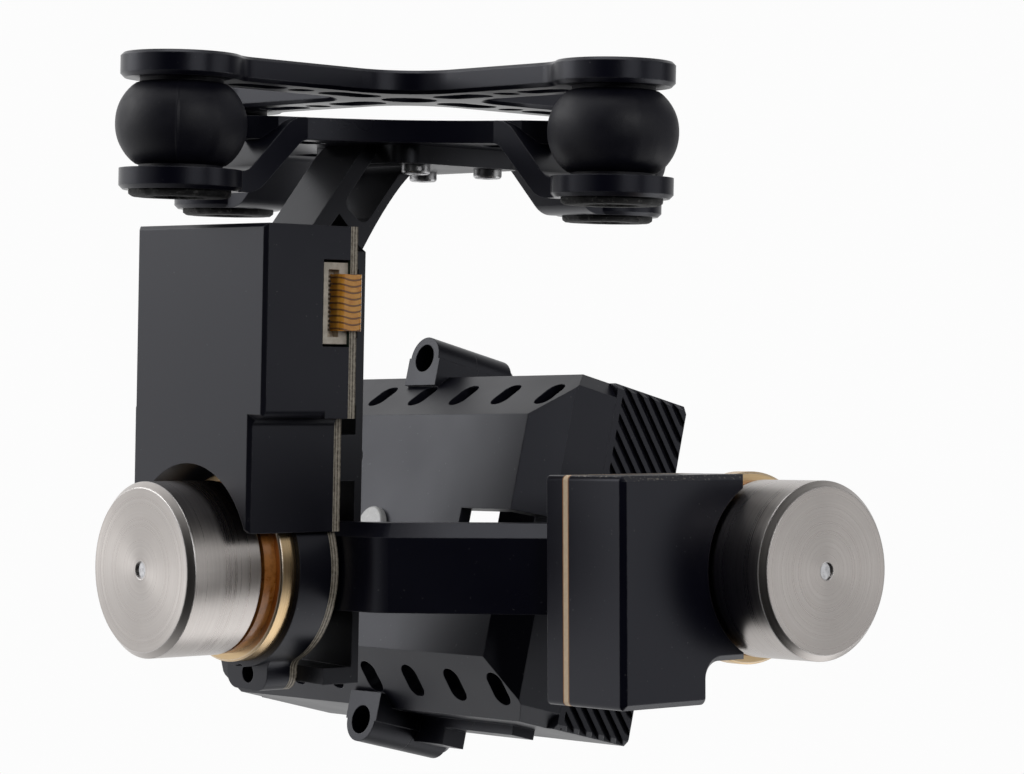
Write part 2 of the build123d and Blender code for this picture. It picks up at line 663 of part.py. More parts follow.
def tilt_outline():
    """Outline shared by the end plate, tilt board and tilt housing, in Y and Z."""
    with BuildSketch() as shape:
        with Locations(((TILT_Y0 + TILT_Y1) / 2, (TILT_Z0 + TILT_Z1) / 2)):
            Rectangle(TILT_Y1 - TILT_Y0, TILT_Z1 - TILT_Z0)
        with Locations(((TILT_Y0 + TILT_LIP_Y) / 2, (TILT_LIP_Z + TILT_Z1) / 2)):
            Rectangle(TILT_LIP_Y - TILT_Y0, TILT_Z1 - TILT_LIP_Z)
        inside = [v for v in shape.vertices() if abs(v.Y - TILT_LIP_Z) < 0.1 and v.X < TILT_Y1 + 0.1]
        fillet(inside, 1.9)
        corner = [v for v in shape.vertices() if v.Y < TILT_Z0 + 0.5 and v.X > -15]
        fillet(corner, 0.8)
        Circle(TILT_DISC_R)
        edge = [v for v in shape.vertices() if v.X < TILT_Y0 + 0.1]
        fillet(edge, 0.6)
    return shape.sketch


def tilt_screw_spots():
    corners = ((-21.1, 8.8), (-21.1, -12.6), (-12.1, -12.6))
    return [Location((END_X0, y, z), (0, -90, 0)) for y, z in corners]


def drill_tilt_screws():
    for spot in tilt_screw_spots():
        with Locations(spot):
            Cylinder(TILT_SCREW_R, 2 * 6.2, mode=Mode.SUBTRACT)


# Tilt board and the housing in front of it
def tilt_unit():
    board_x = END_X0 + END_T
    outline = tilt_outline()
    with BuildPart() as board:
        with BuildSketch(Plane.YZ.offset(board_x)):
            add(outline)
            Circle(3.0, mode=Mode.SUBTRACT)
        extrude(amount=BOARD_T)
        drill_tilt_screws()
    keep(arm_pose(board.part), "tilt_board", (0.86, 0.72, 0.5))
    back = board_x + BOARD_T
    with BuildPart() as housing:
        with BuildSketch(Plane.YZ.offset(back)):
            add(outline)
        extrude(amount=TILT_BOX_X - back)
        rim = housing.faces().sort_by(Axis.X)[-1].outer_wire().edges()
        chamfer(rim, 0.6)
        with Locations((TILT_SEAT_X, TILT_LIP_Y, 0)):
            Box(20, 40, 40, align=(Align.MIN, Align.MIN, Align.CENTER), mode=Mode.SUBTRACT)
        with Locations(Location((TILT_SEAT_X, 0, 0), (0, 90, 0))):
            Cylinder(TILT_ARCH_R, 20, align=(Align.CENTER, Align.CENTER, Align.MIN), mode=Mode.SUBTRACT)
            Cylinder(
                FLANGE_R + 0.05,
                FLANGE_T + 0.4,
                align=(Align.CENTER, Align.CENTER, Align.MIN),
                mode=Mode.SUBTRACT,
            )
            Cylinder(SLEEVE_R, 20, mode=Mode.SUBTRACT)
        with Locations((back, (TILT_Y0 - 12.2) / 2, (TILT_Z0 + TILT_Z1) / 2)):
            Box(
                TILT_BOX_X - back - WALL,
                -12.2 - TILT_Y0 - 2 * WALL,
                TILT_Z1 - TILT_Z0 - 2 * WALL,
                align=(Align.MIN, Align.CENTER, Align.CENTER),
                mode=Mode.SUBTRACT,
            )
        for spot in tilt_screw_spots():
            with Locations(Location((back, spot.position.Y, spot.position.Z))):
                Box(TILT_BOX_X - back - WALL, 3.2, 3.2, align=(Align.MIN, Align.CENTER, Align.CENTER))
        drill_tilt_screws()
    keep(arm_pose(housing.part), "tilt_housing")
    head = pan_screw(1.5, 1.0, TILT_SCREW_R, 5.0).moved(Location((0, 0, -TILT_SCREW_SINK)))
    with BuildPart() as screws:
        for spot in tilt_screw_spots():
            add(head.moved(spot))
    keep(arm_pose(screws.part), "tilt_screws", (0.5, 0.5, 0.52))


# Hub that carries the case on the tilt shaft, with its four screws
def tilt_hub():
    low = (Align.CENTER, Align.CENTER, Align.MIN)
    with BuildPart() as hub:
        with Locations(Location((CASE_X1, 0, 0), (0, 90, 0))):
            Cylinder(HUB_FLANGE_R, HUB_FLANGE_T, align=low)
            Cylinder(HUB_NECK_R, HUB_END_X - CASE_X1, align=low)
        root = [e for e in hub.edges().filter_by(GeomType.CIRCLE) if abs(e.radius - HUB_NECK_R) < 0.01]
        fillet(root[:1], 0.2)
        with Locations(Location((HUB_BORE_X, 0, 0), (0, 90, 0))):
            Cylinder(SHAFT_R, 30, align=low, mode=Mode.SUBTRACT)
        with Locations(Location((CASE_X1, 0, 0), (0, 90, 0))):
            with PolarLocations(HUB_BOLT_R, 4, start_angle=45):
                Cylinder(HUB_SCREW_R, 20, mode=Mode.SUBTRACT)
    keep(case_pose(hub.part), "tilt_hub")
    screw = pan_screw(1.5, 0.9, HUB_SCREW_R, HUB_FLANGE_T + CASE_WALL + 0.2)
    with BuildPart() as screws:
        for spot in PolarLocations(HUB_BOLT_R, 4, start_angle=45).local_locations:
            head = Location((CASE_X1 + HUB_FLANGE_T, spot.position.X, spot.position.Y), (0, 90, 0))
            add(screw.moved(head))
    keep(case_pose(screws.part), "hub_screws", (0.5, 0.5, 0.52))


def case_shape():
    """Outline of the case seen along X, in Y and Z."""
    flat = CASE_Z - CASE_BEVEL
    with BuildSketch() as shape:
        with BuildLine():
            Polyline(
                (CASE_Y0, -flat),
                (CASE_Y0 + CASE_BEVEL, -CASE_Z),
                (CASE_Y1, -CASE_Z),
                (CASE_Y1, CASE_Z),
                (CASE_Y0 + CASE_BEVEL, CASE_Z),
                (CASE_Y0, flat),
                close=True,
            )
        make_face()
    return shape.sketch


# Case: rear and front shells that clamp around the camera
def camera_case(end_chamfer):
    length = CASE_X1 - CASE_X0
    outline = case_shape()
    inset = offset(outline, amount=-CASE_WALL, kind=Kind.INTERSECTION)
    with BuildPart() as solid:
        with BuildSketch(Plane.YZ.offset(CASE_X0)):
            add(outline)
        extrude(amount=length)
        uprights = [e for e in solid.edges().filter_by(Axis.Z) if e.center().Y < CASE_Y0 + 1]
        chamfer(uprights, 2.8, 4.2)
        ends = solid.faces().sort_by(Axis.X)[-1].edges() + solid.faces().sort_by(Axis.X)[0].edges()
        tops = [e for e in ends if abs(abs(e.center().Z) - CASE_Z) < 0.1]
        chamfer(tops, end_chamfer)
        chamfer(solid.faces().sort_by(Axis.Y)[-1].edges(), FRONT_EDGE_CHAMFER)
    with BuildPart() as bay:
        with BuildSketch(Plane.YZ.offset(CASE_X0 + CASE_WALL)):
            add(inset)
        extrude(amount=length - 2 * CASE_WALL)
        inner = [e for e in bay.edges().filter_by(Axis.Z) if e.center().Y < CASE_Y0 + 3]
        chamfer(inner, 2.8, 4.2)
    return solid.part, bay.part


def bevel_slots(side, first_x, count):
    """Rounded slots through the top or bottom bevel."""
    centre_y = CASE_Y0 + CASE_BEVEL / 2
    centre_z = side * (CASE_Z - CASE_BEVEL / 2)
    normal = (0, -1, side)
    plane = Plane(origin=(0, centre_y, centre_z), x_dir=(1, 0, 0), z_dir=normal)
    with BuildPart() as cutters:
        with BuildSketch(plane):
            for k in range(count):
                with Locations((first_x - k * SLOT_PITCH, 0)):
                    SlotOverall(SLOT_L, SLOT_W, rotation=90)
        extrude(amount=8, both=True)
    return cutters.part


def barrel(side, x):
    low = (Align.CENTER, Align.CENTER, Align.MIN)
    with BuildPart() as tube:
        with Locations(Location((x, BARREL_Y0, side * BARREL_Z), (-90, 0, 0))):
            Cylinder(BARREL_R, BARREL_Y1 - BARREL_Y0, align=low)
        with Locations((x, BARREL_Y0, side * (CASE_Z + BARREL_Z - 1.5) / 2)):
            Box(
                2 * BARREL_R + 0.6,
                BARREL_Y1 - BARREL_Y0,
                BARREL_Z - CASE_Z + 1.5,
                align=(Align.CENTER, Align.MIN, Align.CENTER),
            )
    with BuildPart() as bore:
        with Locations(Location((x, BARREL_STEP_Y, side * BARREL_Z), (90, 0, 0))):
            Cylinder(BARREL_BORE_R, 10, align=low)
            Cylinder(BARREL_SCREW_R, 30)
    return tube.part, bore.part


def case_shells():
    solid, bay = camera_case(REAR_END_CHAMFER)
    front_solid, _ = camera_case(FRONT_END_CHAMFER)
    top, top_bore = barrel(1, BARREL_X - 0.5)
    bottom, bottom_bore = barrel(-1, BARREL_X + 0.6)
    rear_side = Box(200, 100, 100, align=(Align.CENTER, Align.MAX, Align.CENTER))
    rear_side = rear_side.moved(Location((0, CASE_SPLIT, 0)))
    slots = [bevel_slots(1, 17.0, 7), bevel_slots(-1, 17.6, 7)]
    with BuildPart() as rear:
        add(solid)
        add(slots, mode=Mode.SUBTRACT)
        add(top)
        add(bottom)
        add(rear_side, mode=Mode.INTERSECT)
        add(bay, mode=Mode.SUBTRACT)
        add(top_bore, mode=Mode.SUBTRACT)
        add(bottom_bore, mode=Mode.SUBTRACT)
        with Locations((14.6, CASE_Y0, -1.0)):
            Box(12.0, 8, 8.0, mode=Mode.SUBTRACT)
        drill_hub_screws()
    keep(case_pose(rear.part), "case_rear_shell")
    with BuildPart() as front:
        add(front_solid)
        add(top)
        add(bottom)
        with Locations((FOOT_X0, CASE_SPLIT + 0.6, FOOT_Z)):
            Box(7.6, 3.4, 4, align=Align.MIN)
        with Locations((FOOT_X0 + 7.6, CASE_SPLIT + 0.6, RAIL_Z)):
            Box(12.6, 3.4, 2, align=Align.MIN)
        add(rear_side, mode=Mode.SUBTRACT)
        add(bay, mode=Mode.SUBTRACT)
        add(top_bore, mode=Mode.SUBTRACT)
        add(bottom_bore, mode=Mode.SUBTRACT)
        with BuildSketch(Plane.XZ.offset(-CASE_Y1)):
            with Locations((LENS_X, 2.0)):
                RectangleRounded(2 * LENS_R + 1, 2 * LENS_R + 1, 3)
            with Locations((-21.0, 0)):
                RectangleRounded(22, 26, 3)
        extrude(amount=6, both=True, mode=Mode.SUBTRACT)
        grip_ribs()
        drill_hub_screws()
    keep(case_pose(front.part), "case_front_shell")
    case_fittings()


def drill_hub_screws():
    for spot in PolarLocations(HUB_BOLT_R, 4, start_angle=45).local_locations:
        with Locations(Location((CASE_X1, spot.position.X, spot.position.Y), (0, 90, 0))):
            Cylinder(HUB_SCREW_R, 2 * CASE_WALL + 2, mode=Mode.SUBTRACT)


# Clamp screws, camera plug, round button and the rubber pads inside
def case_fittings():
    screw = pan_screw(1.9, 1.4, BARREL_SCREW_R, BARREL_Y1 - BARREL_STEP_Y)
    with BuildPart() as screws:
        add(screw.moved(Location((BARREL_X - 0.5, BARREL_Y1, BARREL_Z), (-90, 0, 0))))
        add(screw.moved(Location((BARREL_X + 0.6, BARREL_Y1, -BARREL_Z), (-90, 0, 0))))
    keep(case_pose(screws.part), "case_clamp_screws", (0.5, 0.5, 0.52))
    inside = CASE_Y0 + CASE_WALL
    with BuildPart() as pads:
        for x in (-24.0, -4.0):
            with Locations((x, inside + 0.4, 0)):
                Box(12, 0.8, 18)
    keep(case_pose(pads.part), "case_pads", (0.05, 0.05, 0.05))
    with BuildPart() as button:
        with Locations(Location((-7.6, CASE_Y0, 0.4), (90, 0, 0))):
            Cylinder(2.4, 0.8, align=(Align.CENTER, Align.CENTER, Align.MIN))
        fillet(button.faces().sort_by(Axis.Y)[0].edges(), 0.3)
    keep(case_pose(button.part), "case_button", (0.8, 0.8, 0.8))
    wall = CASE_X1 - CASE_WALL
    with BuildPart() as plug:
        with Locations((wall, -7.4, -1.0)):
            Box(4.2, 2.4, 6.4, align=(Align.MAX, Align.CENTER, Align.CENTER))
            Box(6.4, 1.2, 3.4, align=(Align.MAX, Align.CENTER, Align.CENTER))
    keep(case_pose(plug.part), "camera_plug", (0.85, 0.85, 0.83))


def grip_ribs():
    """Slanted grooves across both ends of the front shell, with a plain land around the hub."""
    span = CASE_Y1 - CASE_SPLIT
    with BuildPart(mode=Mode.PRIVATE) as zone:
        for x in (CASE_X0, CASE_X1):
            with Locations((x, CASE_SPLIT + 0.9, 0)):
                Box(4, span, 60, align=(Align.CENTER, Align.MIN, Align.CENTER))
        with Locations(Location((CASE_X1, 0, 0), (0, 90, 0))):
            Cylinder(HUB_FLANGE_R + 0.6, 6, mode=Mode.SUBTRACT)
    with BuildPart(mode=Mode.PRIVATE) as grooves:
        for k in range(-12, 16):
            with Locations(Location((0, k * GRIP_PITCH, 0), (45, 0, 0))):
                with GridLocations(CASE_X1 - CASE_X0, 1, 2, 1):
                    Box(1.1, 0.8, 90)
    middle = Location(((CASE_X0 + CASE_X1) / 2, 0, 0))
    add(grooves.part.moved(middle) & zone.part, mode=Mode.SUBTRACT)


def build():
    upper_plate()
    dampers()
    lower_plate()
    bracket()
    platform_screws()
    roll_housing()
    control_board()
    connector()
    ribbon()
    motors()
    shafts()
    roll_arm()
    tilt_unit()
    tilt_hub()
    case_shells()
    os.makedirs("parts", exist_ok=True)
    for name, part in parts.items():
        export_step(part, "parts/" + name + ".step")


build()
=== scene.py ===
"""Looks of the hanging camera stabilizer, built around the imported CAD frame. Metres, +Z up."""
import math

import bmesh
import bpy
from mathutils import Matrix, Vector

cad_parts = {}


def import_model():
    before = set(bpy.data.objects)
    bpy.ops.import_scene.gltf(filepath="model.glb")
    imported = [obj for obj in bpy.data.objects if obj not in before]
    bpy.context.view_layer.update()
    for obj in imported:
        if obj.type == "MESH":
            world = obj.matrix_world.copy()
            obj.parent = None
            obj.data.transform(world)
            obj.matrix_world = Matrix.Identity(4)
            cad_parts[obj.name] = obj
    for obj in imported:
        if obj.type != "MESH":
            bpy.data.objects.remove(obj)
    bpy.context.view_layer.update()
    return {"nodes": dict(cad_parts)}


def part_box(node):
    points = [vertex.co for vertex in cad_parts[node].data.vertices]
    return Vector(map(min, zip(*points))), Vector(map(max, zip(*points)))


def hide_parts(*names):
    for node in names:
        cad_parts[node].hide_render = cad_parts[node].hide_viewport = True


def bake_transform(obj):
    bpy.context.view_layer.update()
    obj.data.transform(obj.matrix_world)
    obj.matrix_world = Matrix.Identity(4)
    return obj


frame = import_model()

MM = 0.001
TILT_AXIS = Vector((math.cos(math.radians(2)), 0.0, math.sin(math.radians(2))))
ROLL_AXIS = Vector((0.0, 1.0, 0.0))
CROSSING = Vector((1.0, 15.0, -58.3)) * MM
UPPER_UNDERSIDE = -2.8 * MM
LOBE_TOP = -13.0 * MM

# Rubber dampers
LOBE_THICKNESS = 2.4 * MM
COLLAR_R = 4.6 * MM
COLLAR_T = 1.1 * MM
STEM_R = 2.6 * MM
NECK_R = 4.75 * MM
NECK_T = 0.42 * MM
BALL_END_R = 5.15 * MM
BALL_STEPS = 26
SEAM_HEIGHT = 0.09 * MM
SEAM_HALF_WIDTH = 1.6
PIT_DEPTH = 0.10 * MM
SEAM_ANGLES = {"damper_rear": -38, "damper_right": -20, "damper_front": 20, "damper_left": 60}

# Camera, seen from the crossing of the two axes
CAMERA_PLACE = Vector((291.976, -246.798, 26.068)) * MM
CAMERA_AZIMUTH = 49.646
CAMERA_ELEVATION = 0.759
CAMERA_BANK = 1.107
SENSOR_WIDTH = 36.0
LENS = 108.6

# Light: the surround is brightest along SKY_BRIGHT
SKY_BRIGHT = (-0.99, 0.05, 0.10)
SKY_FROM = -0.35
SKY_TO = 0.85
SKY_LOW = 0.015
SKY_HIGH = 0.95
BACKDROP = 0.975
LIGHT_TARGET = (0, 0, -0.05)
GOLD = (0.80, 0.60, 0.36)
GOLD_DARK = (0.62, 0.43, 0.22)
GOLD_RING = 0.0003


# ---------------------------------------------------------------- node helpers
class Shader:
    """One material and short ways to add nodes to it."""

    def __init__(self, name):
        self.mat = bpy.data.materials.new(name)
        self.mat.use_nodes = True
        self.tree = self.mat.node_tree
        self.bsdf = self.tree.nodes["Principled BSDF"]
        self.coords = self.node("ShaderNodeTexCoord").outputs["Object"]

    def node(self, kind, **values):
        made = self.tree.nodes.new(kind)
        for key, value in values.items():
            setattr(made, key, value)
        return made

    def link(self, a, b):
        self.tree.links.new(a, b)

    def set(self, **values):
        for key, value in values.items():
            self.bsdf.inputs[key.replace("_", " ")].default_value = value

    def noise(self, scale, detail=3.0, rough=0.55, vector=None):
        made = self.node("ShaderNodeTexNoise")
        made.inputs["Scale"].default_value = scale
        made.inputs["Detail"].default_value = detail
        made.inputs["Roughness"].default_value = rough
        self.link(vector or self.coords, made.inputs["Vector"])
        return made.outputs["Fac"]

    def ramp(self, value, low, high, a=0.0, b=1.0):
        made = self.node("ShaderNodeMapRange")
        made.inputs["From Min"].default_value = low
        made.inputs["From Max"].default_value = high
        made.inputs["To Min"].default_value = a
        made.inputs["To Max"].default_value = b
        self.link(value, made.inputs["Value"])
        return made.outputs["Result"]

    def math(self, op, a, b=None):
        made = self.node("ShaderNodeMath", operation=op)
        for slot, value in zip(made.inputs, (a, b)):
            if isinstance(value, (int, float)):
                slot.default_value = value
            elif value is not None:
                self.link(value, slot)
        return made.outputs[0]

    def vector(self, op, a, b):
        made = self.node("ShaderNodeVectorMath", operation=op)
        for slot, value in zip(made.inputs, (a, b)):
            if isinstance(value, (tuple, Vector)):
                slot.default_value = value
            elif value is not None:
                self.link(value, slot)
        return made.outputs["Value"] if op in ("LENGTH", "DOT_PRODUCT") else made.outputs["Vector"]

    def mix(self, factor, a, b):
        made = self.node("ShaderNodeMix", data_type="RGBA")
        self.link(factor, made.inputs["Factor"])
        for slot, value in ((made.inputs[6], a), (made.inputs[7], b)):
            if isinstance(value, tuple):
                slot.default_value = (*value, 1.0)
            else:
                self.link(value, slot)
        return made.outputs[2]

    def color(self, source):
        self.link(source, self.bsdf.inputs["Base Color"])

    def rough(self, source):
        self.link(source, self.bsdf.inputs["Roughness"])

    def edge_mask(self, radius=0.00022):
        """1 on sharp edges, 0 on flats, from the angle between the rounded and the true normal."""
        bevel = self.node("ShaderNodeBevel", samples=4)
        bevel.inputs["Radius"].default_value = radius
        normal = self.node("ShaderNodeNewGeometry").outputs["Normal"]
        along = self.vector("DOT_PRODUCT", bevel.outputs["Normal"], normal)
        return self.ramp(along, 0.995, 0.90), bevel.outputs["Normal"]

    def bump(self, height, distance, strength=1.0, normal=None):
        made = self.node("ShaderNodeBump")
        made.inputs["Distance"].default_value = distance
        made.inputs["Strength"].default_value = strength
        self.link(height, made.inputs["Height"])
        if normal is not None:
            self.link(normal, made.inputs["Normal"])
        self.link(made.outputs["Normal"], self.bsdf.inputs["Normal"])
        return made.outputs["Normal"]


def anodised(name, base=(0.0018, 0.0018, 0.0075), light=(0.0032, 0.0032, 0.0100),
             rough=(0.27, 0.33), dust=0.0):
    """Black anodised aluminium: satin, edges painted lighter (partly chipped wear, partly a painted
    highlight), dust on top where asked.
    """
    s = Shader(name)
    cloud = s.noise(90, 3)
    fine = s.noise(3800, 2)
    edge_wear_and_highlight, rounded = s.edge_mask(0.00016)
    chips = s.ramp(s.noise(900, 3), 0.40, 0.66)
    body = s.mix(s.ramp(cloud, 0.35, 0.7), base, light)
    # edges painted lighter: a painted highlight along every sharp edge, broken up by chipped wear
    edge = s.math("MULTIPLY", edge_wear_and_highlight, s.math("ADD", s.math("MULTIPLY", chips, 0.5), 0.2))
    tone = s.mix(edge, body, (0.11, 0.11, 0.12))
    specks = s.math("MULTIPLY", s.ramp(s.noise(2300, 1), 0.755, 0.79), 0.12)
    tone = s.mix(specks, tone, (0.35, 0.35, 0.36))
    if dust:
        up = s.node("ShaderNodeSeparateXYZ")
        s.link(s.node("ShaderNodeNewGeometry").outputs["Normal"], up.inputs[0])
        facing_up = s.ramp(up.outputs["Z"], 0.6, 0.95)
        grains = s.math("MULTIPLY", s.ramp(s.noise(3400, 1), 0.60, 0.68), facing_up)
        tone = s.mix(s.math("MULTIPLY", grains, dust), tone, (0.55, 0.50, 0.42))
    s.color(tone)
    s.rough(s.ramp(cloud, 0.3, 0.7, *rough))
    s.set(IOR=1.5, Metallic=0.0, Specular_IOR_Level=0.45, Specular_Tint=(0.88, 0.9, 1.0, 1.0))
    s.bump(fine, 0.000006, 0.5, rounded)
    return s.mat


def turned(name, axis, centre=CROSSING, base=(0.62, 0.585, 0.56), dark=(0.47, 0.435, 0.415),
           rough=(0.24, 0.34),
           ring=0.00021, aniso=0.72):
    """Lathe-turned metal: rings around the given axis and the streaked highlight they give."""
    s = Shader(name)
    arm = s.vector("SUBTRACT", s.coords, tuple(centre))
    around = s.vector("CROSS_PRODUCT", tuple(axis), arm)
    radius = s.vector("LENGTH", around, None)
    along = s.vector("DOT_PRODUCT", arm, tuple(axis))
    place = s.node("ShaderNodeCombineXYZ")
    s.link(radius, place.inputs["X"])
    s.link(along, place.inputs["Y"])
    rings = s.noise(0.6 / ring, 4, 0.7, place.outputs[0])
    broad = s.noise(0.07 / ring, 2, 0.5, place.outputs[0])
    travel = s.math("ADD", radius, s.math("MULTIPLY", along, 0.9))
    groove = s.math("SINE", s.math("MULTIPLY", travel, 2 * math.pi / ring))
    both = s.math("ADD", s.math("MULTIPLY", rings, 0.75), s.math("MULTIPLY", broad, 0.25))
    edge_wear_and_highlight, rounded = s.edge_mask(0.0002)
    stain = s.ramp(s.noise(300, 4), 0.5, 0.8, 0.0, 0.3)
    tone = s.mix(s.ramp(both, 0.30, 0.66), dark, base)
    # edges painted brighter: partly polished wear, partly a painted highlight
    s.color(s.mix(s.math("MULTIPLY", edge_wear_and_highlight, 0.6), s.mix(stain, tone, dark), (0.92, 0.92, 0.92)))
    s.rough(s.ramp(both, 0.3, 0.7, *rough))
    s.set(Metallic=1.0, Anisotropic=aniso)
    s.link(s.vector("NORMALIZE", around, None), s.bsdf.inputs["Tangent"])
    s.bump(s.math("ADD", rings, s.math("MULTIPLY", groove, 0.2)), 0.000005, 0.4, rounded)
    return s.mat


def metal(name, base, rough=(0.25, 0.4), grain=1800):
    s = Shader(name)
    cloud = s.noise(grain, 3)
    _, rounded = s.edge_mask(0.0001)
    dark = tuple(0.6 * v for v in base)
    s.color(s.mix(s.ramp(cloud, 0.3, 0.6), dark, base))
    s.rough(s.ramp(cloud, 0.3, 0.7, *rough))
    s.set(Metallic=1.0)
    s.bump(cloud, 0.00001, 0.5, rounded)
    return s.mat


def rubber(name):
    """Matte black moulded rubber with a fine skin and a bloom of dust."""
    s = Shader(name)
    skin = s.noise(5200, 4, 0.7)
    cloud = s.noise(420, 3)
    lint = s.ramp(s.noise(2300, 1), 0.76, 0.80, 0.0, 0.35)
    body = s.mix(s.ramp(cloud, 0.35, 0.7), (0.0030, 0.0030, 0.0095), (0.0052, 0.0052, 0.0125))
    s.color(s.mix(lint, body, (0.09, 0.09, 0.09)))
    s.rough(s.ramp(cloud, 0.3, 0.7, 0.46, 0.58))
    s.set(Specular_IOR_Level=0.40)
    s.bump(skin, 0.00003, 0.6)
    return s.mat


def grommet(name):
    """Torn, pitted rubber around the lower ends of the balls."""
    s = Shader(name)
    pits = s.noise(1500, 5, 0.7)
    s.color(s.mix(s.ramp(pits, 0.55, 0.7), (0.006, 0.006, 0.007), (0.13, 0.125, 0.12)))
    s.rough(s.ramp(pits, 0.3, 0.7, 0.55, 0.8))
    s.bump(pits, 0.00014, 0.9)
    return s.mat


def laminate(name, across, cream, brown, layers, grit):
    """Cut edge of a circuit board: glass and resin layers, with green-black faces."""
    s = Shader(name)
    split = s.node("ShaderNodeSeparateXYZ")
    s.link(s.coords, split.inputs[0])
    depth = split.outputs[across]
    wander = s.math("MULTIPLY", s.noise(700, 3), 0.00012)
    wave = s.math("SINE", s.math("MULTIPLY", s.math("ADD", depth, wander), 2 * math.pi * layers))
    weave = s.noise(2600, 4, 0.7)
    layered = s.math("MULTIPLY", s.ramp(wave, -1, 1), 1 - grit)
    stripe = s.math("ADD", layered, s.math("MULTIPLY", weave, grit))
    edge = s.mix(s.ramp(stripe, 0.3, 0.7), brown, cream)
    parts = s.node("ShaderNodeSeparateXYZ")
    s.link(s.node("ShaderNodeNewGeometry").outputs["Normal"], parts.inputs[0])
    face = s.ramp(s.math("ABSOLUTE", parts.outputs[across]), 0.8, 0.95)
    s.color(s.mix(face, edge, (0.010, 0.035, 0.022)))
    s.rough(s.ramp(weave, 0.3, 0.7, 0.42, 0.7))
    s.bump(weave, 0.00003, 0.5)
    return s.mat


def bordered(name, node, axis, cream, brown):
    """Cut edge of a board: one pale core with a thin brown line along each face."""
    s = Shader(name)
    places = [(v.co - CROSSING).dot(axis) for v in frame["nodes"][node].data.vertices]
    middle, half = (max(places) + min(places)) / 2, (max(places) - min(places)) / 2
    arm = s.vector("SUBTRACT", s.coords, tuple(CROSSING))
    depth = s.math("SUBTRACT", s.vector("DOT_PRODUCT", arm, tuple(axis)), middle)
    weave = s.noise(1800, 4, 0.6)
    core = s.mix(s.ramp(weave, 0.3, 0.7), tuple(0.86 * v for v in cream), cream)
    border = s.ramp(s.math("ABSOLUTE", depth), 0.62 * half, 0.84 * half)
    s.color(s.mix(border, core, brown))
    s.rough(s.ramp(weave, 0.3, 0.7, 0.45, 0.65))
    s.bump(weave, 0.00001, 0.4)
    return s.mat


def plastic(name, a, b, rough=(0.3, 0.45), scale=1200, clear=0.0):
    s = Shader(name)
    cloud = s.noise(scale, 3)
    s.color(s.mix(s.ramp(cloud, 0.35, 0.65), a, b))
    s.rough(s.ramp(cloud, 0.3, 0.7, *rough))
    s.set(Coat_Weight=clear, Coat_Roughness=0.12)
    _, rounded = s.edge_mask(0.00012)
    s.bump(cloud, 0.00001, 0.4, rounded)
    return s.mat


def flex(name):
    """Orange polyimide cable with dark wavy copper traces along it."""
    s = Shader(name)
    split = s.node("ShaderNodeSeparateXYZ")
    s.link(s.coords, split.inputs[0])
    bend = s.math("MULTIPLY", s.math("SINE", s.math("MULTIPLY", split.outputs["Y"], 1500)), 0.00016)
    height = s.math("ADD", split.outputs["Z"], bend)
    lanes = s.math("SINE", s.math("MULTIPLY", height, 2 * math.pi / 0.00072))
    trace = s.ramp(lanes, 0.45, 0.75)
    glow = s.mix(s.ramp(s.noise(500, 3), 0.35, 0.7), (0.80, 0.30, 0.02), (1.0, 0.48, 0.07))
    s.color(s.mix(s.math("MULTIPLY", trace, 0.78), glow, (0.10, 0.04, 0.015)))
    s.rough(s.ramp(trace, 0, 1, 0.22, 0.36))
    s.set(Coat_Weight=0.5, Coat_Roughness=0.12)
    s.bump(trace, 0.00003, 0.6)
    return s.mat


# ---------------------------------------------------------------- materials of the CAD nodes
black = anodised("black_anodised")
black_machined = anodised(
    "black_machined", (0.0035, 0.0035, 0.0085), (0.0055, 0.0055, 0.0110), (0.34, 0.41)
)
black_dusty = anodised("black_dusty", dust=0.8)
black_neck = anodised("black_neck", (0.0045, 0.0045, 0.006), (0.007, 0.007, 0.009), (0.32, 0.42))
can_roll = turned("turned_roll_can", ROLL_AXIS)
can_tilt = turned("turned_tilt_can", TILT_AXIS)
gold_roll = turned("gold_roll", ROLL_AXIS, base=GOLD, dark=GOLD_DARK, ring=GOLD_RING)
gold_tilt = turned("gold_tilt", TILT_AXIS, base=GOLD, dark=GOLD_DARK, ring=GOLD_RING)
amber = plastic("amber_insulation", (0.36, 0.11, 0.015), (0.62, 0.24, 0.05), (0.22, 0.4), 900, 0.4)
steel = metal("screw_steel", (0.62, 0.62, 0.63))
dark_steel = metal("dark_steel", (0.20, 0.20, 0.21))
polished = metal("polished_steel", (0.70, 0.70, 0.72), (0.12, 0.22))
iron = metal("stator_iron", (0.34, 0.20, 0.12), (0.35, 0.5))
roll_edge = laminate("board_edge_roll", "Y", (0.62, 0.56, 0.46), (0.10, 0.08, 0.06), 2600, 0.7)
tilt_edge = bordered(
    "board_edge_tilt", "tilt_board", TILT_AXIS, (0.98, 0.76, 0.52), (0.42, 0.17, 0.05)
)
soft_black = rubber("rubber_black")
torn_black = grommet("rubber_torn")
cream = plastic("connector_cream", (0.66, 0.59, 0.49), (0.84, 0.77, 0.66), (0.35, 0.5))
contact = metal("contact_metal", (0.16, 0.13, 0.09), (0.3, 0.5))
chip = plastic("chip_black", (0.012, 0.012, 0.013), (0.02, 0.02, 0.022), (0.45, 0.6))
orange = flex("flex_orange")
plug_white = plastic("plug_white", (0.62, 0.60, 0.55), (0.74, 0.72, 0.68), (0.4, 0.55))
button_light = plastic(
    "button_light", (0.52, 0.52, 0.52), (0.62, 0.62, 0.62), (0.2, 0.3), 1200, 0.3
)

